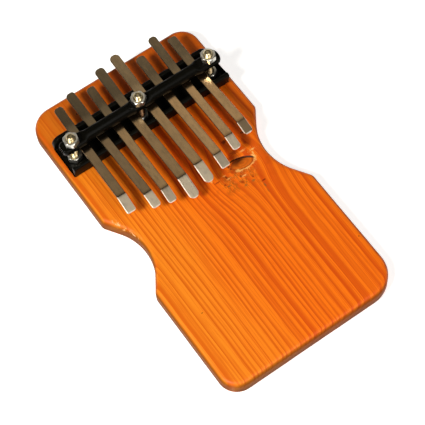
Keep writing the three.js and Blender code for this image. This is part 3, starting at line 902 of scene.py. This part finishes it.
def make_bar(material):
    low, high = box_mm("pressure_bar")
    middle_z = (low.z + high.z) / 2
    spans = np.unique(np.concatenate([
        np.linspace(low.x, low.x + 22, 60), np.linspace(-14, 12, 70),
        np.linspace(high.x - 22, high.x, 60), np.linspace(low.x + 22, high.x - 22, 24)]))
    rings = []
    for stations, wall in ((spans, 0.0), (spans[::-1], BAR_WALL)):
        for x in stations:
            soft = max(0.0, BAR_LIP - min(x - low.x, high.x - x))
            rings.append(bar_ring(x, low.x, high.x, wall - soft if wall else soft, middle_z))
    vertices, faces = loft(rings, closed=True)
    bar = make_object("pressure_tube", vertices, faces, 45)
    drill(bar, low.z - 2, high.z + 2)
    finish_piece(bar, "bar", ["pressure_bar"], material)


# ---- Zinc ----

# Painted shade on the bolts under the bar: below this height, each bolt's share, and its colour.
BAR_SHADE_HEIGHT = 28.0  # under the bar
BAR_SHADE = {"left": 0.0, "middle": 0.9, "right": 0.5}
ZINC_SHADE = (0.11, 0.035, 0.012)
ZINC_GRIME = (0.06, 0.045, 0.03)
YELLOW, BRASS = (0.86, 0.72, 0.44), (0.58, 0.42, 0.18)
NUT_PALE, NUT_DARK = (0.84, 0.83, 0.76), (0.66, 0.64, 0.56)
WASHER_PALE, WASHER_DARK = (0.78, 0.78, 0.76), (0.55, 0.55, 0.53)


def zinc_material(name, color, dark, rough, grime, bar_shade=0.0):
    """Zinc plate: small cloudy crystals, duller patches and grime in the hollows. Under the bar a
    bolt is painted darker, as shade, to the given share."""
    g = Graph(name)
    place = g.place()
    patch = g.noise(place, (0.55, 0.55, 0.55), 4.0, 0.6)
    grain = g.noise(place, (3.2, 3.2, 3.2), 3.0, 0.65)
    tint = g.mix(g.step(patch, 0.40, 0.66), color, dark)
    tint = g.mix(g.mul(g.step(grain, 0.58, 0.76), grime), tint, ZINC_GRIME)
    # Painted shade on the bolt under the bar.
    if bar_shade:
        under = g.step(g.split(place)[2], BAR_SHADE_HEIGHT + 0.5, BAR_SHADE_HEIGHT - 0.5, 0.0, bar_shade)
        tint = g.mix(under, tint, ZINC_SHADE)
    roughness = g.add(rough, g.mul(patch, 0.12), g.mul(grain, 0.06))
    g.set(base_color=tint, roughness=roughness, normal=g.bump(grain, 0.02, 0.06), metallic=1.0)
    return g.material


# ---- Bolts, washers and nuts ----

BOLT_RADIUS = 2.4
PITCH = 0.8
THREAD_DEPTH = 0.34
DOME_RADIUS = 3.6
DOME_TILT = math.asin(1.95 / DOME_RADIUS)
HEAD_RADIUS = 4.5
HEAD_LOW = 0.4
HEAD_HIGH = 3.2
SHANK_HIGH = 12.0  # where the thread starts
RECESS = ((-0.3, 2.5, 0.55), (1.0, 1.9, 0.42), (2.0, 0.9, 0.3))  # z, half length, half width
RECESS_TURN = 0.5
NUT_FLATS = 7.8
NUT_FACE = 3.8
NUT_SLOPE = 0.55
NUT_SIDES = 96
NUT_CORNER_CUT = 0.07


def thread_radius(angle, z, top):
    """The bolt's radius at an angle and height: a thread, ending in a chamfered tip."""
    phase = (z / PITCH - angle / (2 * math.pi)) % 1.0
    crest = smoothstep((abs(phase - 0.5) * 2 - 0.12) / 0.76)
    threaded = BOLT_RADIUS - THREAD_DEPTH * crest
    tip = BOLT_RADIUS - 0.45 + (top - z) * 0.8
    return min(threaded, tip)


def make_bolt(side, material):
    low, high = box_mm("bolt_" + side)
    top = high.z
    steps = 40
    head = [(0.9, HEAD_LOW), (3.4, HEAD_LOW), (4.05, HEAD_LOW + 0.2), (4.4, HEAD_LOW + 0.6),
            (HEAD_RADIUS, HEAD_LOW + 1.1), (HEAD_RADIUS, HEAD_HIGH - 0.15),
            (HEAD_RADIUS - 0.15, HEAD_HIGH), (BOLT_RADIUS, HEAD_HIGH), (BOLT_RADIUS, SHANK_HIGH)]
    rings = turned(head, steps)
    z = SHANK_HIGH
    shoulder = top - DOME_RADIUS * (1 - math.cos(DOME_TILT))
    while z < shoulder - 0.001:
        z = min(z + PITCH / 10, shoulder)
        ring = []
        for angle in around(steps):
            radius = thread_radius(angle, z, shoulder)
            ring.append((radius * math.cos(angle), radius * math.sin(angle), z))
        rings.append(ring)
    dome = []
    for i in range(1, 9):
        tilt = DOME_TILT * (1 - i / 8.5)
        dome.append((DOME_RADIUS * math.sin(tilt), top - DOME_RADIUS * (1 - math.cos(tilt))))
    rings += turned(dome, steps)
    vertices, faces = loft(rings)
    x = BOLT_X[side]
    bolt = make_object(f"bolt_{side}_threaded", moved(vertices, x, BRIDGE_Y), faces, 40)
    cross_recess(bolt, x)
    finish_piece(bolt, "base", ["bolt_" + side], material)


def cross_recess(bolt, x):
    """Cuts the driver's cross into the underside of the bolt's head."""
    for turn in (RECESS_TURN, RECESS_TURN + math.pi / 2):
        rings = []
        for z, half_length, half_width in RECESS:
            rings.append([(sx * half_length, sy * half_width, z)
                          for sx, sy in ((-1, -1), (1, -1), (1, 1), (-1, 1))])
        vertices, faces = loft(rings)
        cut_away(bolt, make_object("cutter", moved(vertices, x, BRIDGE_Y, 0.0, turn), faces))
    smooth(bolt.data, 40)


def make_washer(side, material):
    low, high = box_mm("washer_" + side)
    radius = (high.x - low.x) / 2
    r = 0.12
    profile = [(HOLE, low.z + r), (HOLE + r, low.z), (radius - r, low.z), (radius, low.z + r),
               (radius, high.z - r), (radius - r, high.z), (HOLE + r, high.z), (HOLE, high.z - r)]
    vertices, faces = loft(turned(profile), closed=True)
    washer = make_object(f"washer_{side}_ring", moved(vertices, BOLT_X[side], BRIDGE_Y), faces, 50)
    finish_piece(washer, "base", ["washer_" + side], material)


def hexagon_radius(angle):
    """A hexagon's radius at an angle, its corners very slightly cut."""
    sector = math.pi / 3
    from_flat = (angle % sector) - sector / 2
    flat = NUT_FLATS / 2
    sharp = flat / math.cos(from_flat)
    corner = flat / math.cos(sector / 2)
    return min(sharp, corner - NUT_CORNER_CUT - 0.02 * (1 - abs(from_flat) / (sector / 2)))


def nut_profile(radius, height):
    """(radius, z) of a nut's section where its side is at the given radius."""
    bore = BOLT_RADIUS + 0.02
    sink = 2.85
    drop = max(0.0, (radius - NUT_FACE) * NUT_SLOPE)
    edge = 0.07
    upper = [(bore, height - (sink - bore)), (sink, height), (NUT_FACE - 0.15, height),
             (NUT_FACE, height - 0.02), (radius - edge, height - drop - 0.01),
             (radius, height - drop - edge - 0.02)]
    lower = [(r, height - z) for r, z in reversed(upper)]
    return upper + lower


def make_nut(name, body, side, material, turn):
    low, high = box_mm(name)
    height = high.z - low.z
    rings = None
    for angle in around(NUT_SIDES):
        profile = nut_profile(hexagon_radius(angle), height)
        if rings is None:
            rings = [[] for _ in profile]
        for ring, (radius, z) in zip(rings, profile):
            ring.append((radius * math.cos(angle), radius * math.sin(angle), low.z + z))
    vertices, faces = loft(rings, closed=True)
    nut = make_object(f"{name}_hex", moved(vertices, BOLT_X[side], BRIDGE_Y, 0.0, turn), faces, 25)
    finish_piece(nut, body, [name], material)


# ---- Tines ----

def tine_slope(y, reach):
    """Slope of a tine at y along it: it rises behind and in front of the bridge, and its
    tip is bent down."""
    soft, bend = 3.0, 1.1
    behind = math.tan(TAIL_RISE) * smoothstep((y - FLANGE + soft) / (2 * soft))
    front = -math.tan(TONGUE_RISE) * smoothstep((-FLANGE + soft - y) / (2 * soft))
    tip = (math.tan(TONGUE_RISE) + math.tan(TIP_DROP)) * smoothstep((-reach + bend - y) / (2 * bend))
    return behind + front + tip


def tine_stations(tail, reach, tip):
    """Places along a tine from its tail to its tip, close together at the ends and bend."""
    ends = [0.0, 0.02, 0.06, 0.12, 0.2, 0.3, 0.42, 0.6, 0.8, 1.05, 1.35, 1.7, 2.1, 2.6, 3.2]
    places = [tail - e for e in ends]
    places += list(np.arange(tail - 4.2, -reach + 2.0, -1.0))
    places += list(np.arange(-reach + 1.8, -reach - 1.9, -0.3))
    places += list(np.arange(-reach - 2.6, -reach - tip + 3.4, -0.8))
    places += [-reach - tip + e for e in reversed(ends)]
    return sorted(set(round(p, 4) for p in places), reverse=True)


def end_half(from_end, half, corner):
    """Half width on one side at a distance from an end with that corner radius."""
    if from_end >= corner:
        return half
    return half - corner + math.sqrt(max(corner ** 2 - (corner - from_end) ** 2, 0.0))


def tine_ring(centre, up, left, right, thick):
    """A rounded rectangle across a tine: centre, its upward normal in (y, z), reach to each
    side and half thickness."""
    r = min(0.32, 0.8 * thick)
    ring = []
    corners = ((right, thick, 0), (-left, thick, 1), (-left, -thick, 2), (right, -thick, 3))
    for cx, ct, quarter in corners:
        ox = cx - math.copysign(r, cx)
        ot = ct - math.copysign(r, ct)
        for k in range(4):
            angle = math.pi / 2 * (quarter + k / 3)
            across = ox + r * math.cos(angle)
            over = ot + r * math.sin(angle)
            ring.append((across, centre[0] + up[0] * over, centre[1] + up[1] * over))
        if quarter in (0, 2):
            for share in (0.03, 0.5, 0.97):
                across = lerp(ox, -left + r if quarter == 0 else right - r, share)
                ring.append((across, centre[0] + up[0] * ct, centre[1] + up[1] * ct))
    return ring


def make_tine(number, steel):
    x, lean, tail, reach, tip, width, tail_width = TINES[number - 1]
    tail_left, tail_right, tip_left, tip_right = TINE_CORNERS[number - 1]
    places = tine_stations(tail, reach, tip)
    # z by adding up the slope, from a point over the bridge.
    fine = np.arange(-reach - tip - 0.5, tail + 0.5, 0.05)
    slopes = np.array([tine_slope(y, reach) for y in fine])
    heights = np.concatenate([[0.0], np.cumsum((slopes[1:] + slopes[:-1]) / 2 * 0.05)])
    heights += TINE_BOTTOM + TINE_THICK / 2 - np.interp(0.0, fine, heights)
    rings = []
    for y in places:
        slope = tine_slope(y, reach)
        up = Vector((-slope, 1.0)).normalized()
        from_tail, from_tip = tail - y, y + reach + tip
        half = lerp(width, tail_width, smoothstep((y + FLANGE) / (2 * FLANGE))) / 2
        uneven = 0.05 * noise.noise(Vector((number * 7.3, y * 0.12, 0.0)))
        left = min(end_half(from_tail, half, tail_left), end_half(from_tip, half, tip_left))
        right = min(end_half(from_tail, half, tail_right), end_half(from_tip, half, tip_right))
        near = min(from_tail, from_tip)
        thick = TINE_THICK / 2
        if near < TINE_EDGE:
            thick -= TINE_EDGE - math.sqrt(max(TINE_EDGE ** 2 - (TINE_EDGE - near) ** 2, 0.0))
        z = float(np.interp(y, fine, heights))
        rings.append(tine_ring((y, z), up, max(left + uneven, 0.3), max(right - uneven, 0.3),
                               max(thick, 0.12)))
    vertices, faces = loft(rings)
    turn = -math.radians(lean)
    tine = make_object(f"tine_{number}_strip", moved(vertices, x, BRIDGE_Y, 0.0, turn), faces, 40)
    keep_rest(tine, x, turn)
    finish_piece(tine, None, [f"tine_{number}_root", f"tine_{number}_tongue"], steel)
    c, s = math.cos(turn), math.sin(turn)

    def at(y):
        return Vector((x - s * y, BRIDGE_Y + c * y, TINE_BOTTOM + TINE_THICK / 2)) * MM

    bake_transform(tine)


def keep_rest(tine, x, turn):
    """Keeps each point's place along and across its tine, so that the finish moves with
    the steel when it bends or slides."""
    back = Matrix.Rotation(-turn, 4, "Z") @ Matrix.Translation((-x, -BRIDGE_Y, 0.0))
    attribute = tine.data.attributes.new("rest_mm", "FLOAT_VECTOR", "POINT")
    for i, vertex in enumerate(tine.data.vertices):
        attribute.data[i].vector = back @ (vertex.co / MM)


def steel_material(number, body, tail, tip, worn):
    """One tine's spring steel: darker tail, partly painted shade; satin body with painted shade
    before the bend; a worn tip past the bend, its rim lighter, partly rubbed and partly a painted
    highlight.
    """
    g = Graph(f"spring_steel_{number}")
    place = g.place("rest_mm")
    x, y, z = g.split(place)
    reach, tip_length, width = TINES[number - 1][3:6]
    seed = g.join(x, g.add(y, number * 37.0), z)
    brushed = g.noise(seed, (3.4, 0.09, 3.4), 4.0, 0.65)
    cross = g.noise(seed, (0.35, 2.6, 0.35), 3.0, 0.6)
    patina = g.noise(seed, (0.42, 0.16, 0.42), 5.0, 0.62)
    fleck = g.step(g.noise(seed, (1.6, 1.3, 1.6), 3.0, 0.7), 0.64, 0.74)
    # The tail is darker: partly its own duller steel, partly painted shade.
    color = g.mix(g.step(y, -6.0, 10.0), body, tail)
    color = g.mix(g.step(patina, 0.42, 0.70, 0.0, 0.30), color,
                  tuple(channel * 0.62 for channel in tail))
    color = g.mix(g.step(brushed, 0.45, 0.75, 0.0, 0.30), color,
                  tuple(min(1.0, channel * 1.35) for channel in body))
    past = g.add(g.mul(y, -1.0), g.mul(g.sub(cross, 0.5), 0.8))
    bright = g.step(past, reach - 0.5, reach + 0.5)
    tip_color = g.mix(g.step(patina, 0.45, 0.72, 0.0, 0.6), tip,
                      tuple(channel * 0.66 for channel in tip))
    color = g.mix(bright, color, tip_color)
    # Painted shade in a band just before the bend, where the reflection darkens.
    bend_shade = g.mul(g.step(past, reach - 2.2, reach - 0.6), g.step(past, reach + 0.5, reach - 0.2))
    color = g.mix(g.mul(bend_shade, 0.55), color, tuple(channel * 0.42 for channel in body))
    color = g.mix(g.mul(fleck, 0.4), color, tuple(channel * 0.4 for channel in tail))
    rough = g.add(g.mul(patina, 0.12), g.mul(brushed, 0.10))
    rough = g.add(rough, g.between(bright, 0.09, worn))
    # Lighter edges of the tip: partly rubbed metal, partly a painted highlight.
    half = width / 2
    end = reach + tip_length
    rim = g.math("MAXIMUM", g.step(g.math("ABSOLUTE", x), half - 0.5, half - 0.2),
                 g.step(past, end - 0.6, end - 0.25))
    rim = g.mul(rim, bright)
    color = g.mix(g.mul(rim, 0.8), color, RUBBED_AND_HIGHLIGHT)
    rough = g.add(rough, g.mul(rim, 0.2))
    height = g.add(g.mul(brushed, 0.5), g.mul(patina, 0.5), g.mul(cross, 0.15))
    g.set(base_color=color, roughness=rough, normal=g.bump(height, 0.04, 0.18), metallic=1.0)
    return g.material


# Each tine's colours: body, tail, tip, and the tip's roughness.
BODY_DARK = (0.31, 0.222, 0.130)
BODY = (0.48, 0.325, 0.172)
BODY_MIDDLE = (0.41, 0.28, 0.15)
BODY_LIGHT = (0.60, 0.395, 0.205)
TAIL = (0.215, 0.168, 0.106)
TAIL_LIGHT = (0.40, 0.295, 0.175)
TIP = (0.76, 0.65, 0.49)
TIP_DULL = (0.56, 0.47, 0.35)
# A painted dark reflection, for a tip that reflects dark surroundings.
TIP_SHADE = (0.30, 0.22, 0.13)
# Lighter tip edges: partly rubbed metal, partly a painted highlight.
RUBBED_AND_HIGHLIGHT = (0.95, 0.88, 0.76)
STEELS = (
    (BODY_DARK, TAIL, TIP, 0.20),
    (BODY_DARK, TAIL, TIP, 0.22),
    (BODY, TAIL, TIP_DULL, 0.26),
    (BODY_MIDDLE, TAIL, TIP, 0.18),
    (BODY, TAIL_LIGHT, TIP, 0.20),
    (BODY_LIGHT, TAIL, TIP_DULL, 0.22),
    (BODY_LIGHT, TAIL, TIP, 0.20),
    (BODY_LIGHT, TAIL, TIP_SHADE, 0.30),
)


# ---- Studio ----

LOOK_AT = Vector((-3.1, -9.3, 11.0))
CAMERA_AZIMUTH = math.radians(29.93)  # of the line of sight, from +Y towards +X
CAMERA_ELEVATION = math.radians(63.0)
CAMERA_ROLL = math.radians(5.62)
CAMERA_DISTANCE = 799.2
CAMERA_LENS = 127.47


def make_camera():
    data = bpy.data.cameras.new("camera")
    data.lens = CAMERA_LENS
    data.sensor_width = 36.0
    data.clip_start = 0.01
    data.clip_end = 20.0
    camera = linked("camera", data)
    level = math.cos(CAMERA_ELEVATION)
    sight = Vector((math.sin(CAMERA_AZIMUTH) * level, math.cos(CAMERA_AZIMUTH) * level,
                    -math.sin(CAMERA_ELEVATION)))
    camera.location = (LOOK_AT - sight * CAMERA_DISTANCE) * MM
    facing = sight.to_track_quat("-Z", "Y").to_matrix()
    camera.rotation_euler = (facing @ Matrix.Rotation(-CAMERA_ROLL, 3, "Z")).to_euler()
    bpy.context.scene.camera = camera


# Name, place and size in metres, watts, colour. Each light points at the frame's origin.
LIGHTS = (
    ("key", (-0.72, -0.24, 0.92), (0.22, 0.22), 11.4, (1.0, 0.97, 0.92)),
    ("fill", (0.10, -0.82, 1.06), (0.6, 1.0), 6.6, (1.0, 0.98, 0.95)),
    ("overhead", (0.28, -0.15, 1.2), (0.45, 0.44), 0.36, (1.0, 0.92, 0.80)),
    ("back", (0.29, 0.68, 1.0), (0.6, 0.45), 0.45, (1.0, 0.90, 0.74)),
)
WORLD_COLOR = (1.0, 0.95, 0.88, 1.0)
WORLD_STRENGTH = 0.045
FLOOR_HALF = 3.0  # metres
FLOOR_DROP = 0.2  # keeps the floor off the board's underside
FLOOR_GLOW = 0.6  # the photo's background is cut out to pure white


def area_light(name, place, size, power, color):
    data = bpy.data.lights.new(name, "AREA")
    data.shape = "RECTANGLE"
    data.size, data.size_y = size
    data.energy = power
    data.color = color
    light = linked(name, data)
    light.location = place
    light.rotation_euler = (-Vector(place)).to_track_quat("-Z", "Y").to_euler()


def make_studio():
    scene = bpy.context.scene
    scene.view_settings.view_transform = "Standard"
    scene.view_settings.look = "None"
    world = bpy.data.worlds.new("studio")
    scene.world = world
    world.use_nodes = True
    background = world.node_tree.nodes["Background"]
    background.inputs["Color"].default_value = WORLD_COLOR
    background.inputs["Strength"].default_value = WORLD_STRENGTH
    for light in LIGHTS:
        area_light(*light)
    floor_plane()


def floor_plane():
    mesh = bpy.data.meshes.new("floor")
    corners = [(sx * FLOOR_HALF, sy * FLOOR_HALF, -FLOOR_DROP * MM)
               for sx, sy in ((-1, -1), (1, -1), (1, 1), (-1, 1))]
    mesh.from_pydata(corners, [], [(0, 1, 2, 3)])
    g = Graph("pale_floor")
    speck = g.noise(g.place(), (0.05, 0.05, 0.05), 3.0)
    g.set(base_color=g.mix(g.mul(speck, 0.2), (0.93, 0.93, 0.92), (0.88, 0.88, 0.87)),
          roughness=0.9, specular_ior_level=0.1,
          emission_color=(1.0, 1.0, 1.0, 1.0), emission_strength=FLOOR_GLOW)
    mesh.materials.append(g.material)
    return linked("floor", mesh)


# ---- Building it ----

BASE_NUT_TURN = {"left": 0.25, "middle": 0.1, "right": 0.6}
TOP_NUT_TURN = {"left": 0.35, "middle": 0.7, "right": 0.15}


def build():
    make_camera()
    make_studio()
    make_board()
    make_channel(black_paint("channel_black", 0.26, 0.10))
    make_bar(black_paint("bar_black", 0.20, 0.08))
    bolts = {side: zinc_material("bolt_zinc_" + side, YELLOW, BRASS, 0.20, 0.3, BAR_SHADE[side])
             for side in SIDES}
    nut = zinc_material("nut_zinc", NUT_PALE, NUT_DARK, 0.22, 0.08)
    washer = zinc_material("washer_zinc", WASHER_PALE, WASHER_DARK, 0.2, 0.4)
    for side in SIDES:
        make_bolt(side, bolts[side])
        make_washer(side, washer)
        make_nut("base_nut_" + side, "base", side, nut, BASE_NUT_TURN[side])
        make_nut("top_nut_" + side, "nut_" + side, side, nut, TOP_NUT_TURN[side])
    for number, (body, tail, tip, worn) in enumerate(STEELS, 1):
        make_tine(number, steel_material(number, body, tail, tip, worn))


build()
bpy.context.view_layer.update()
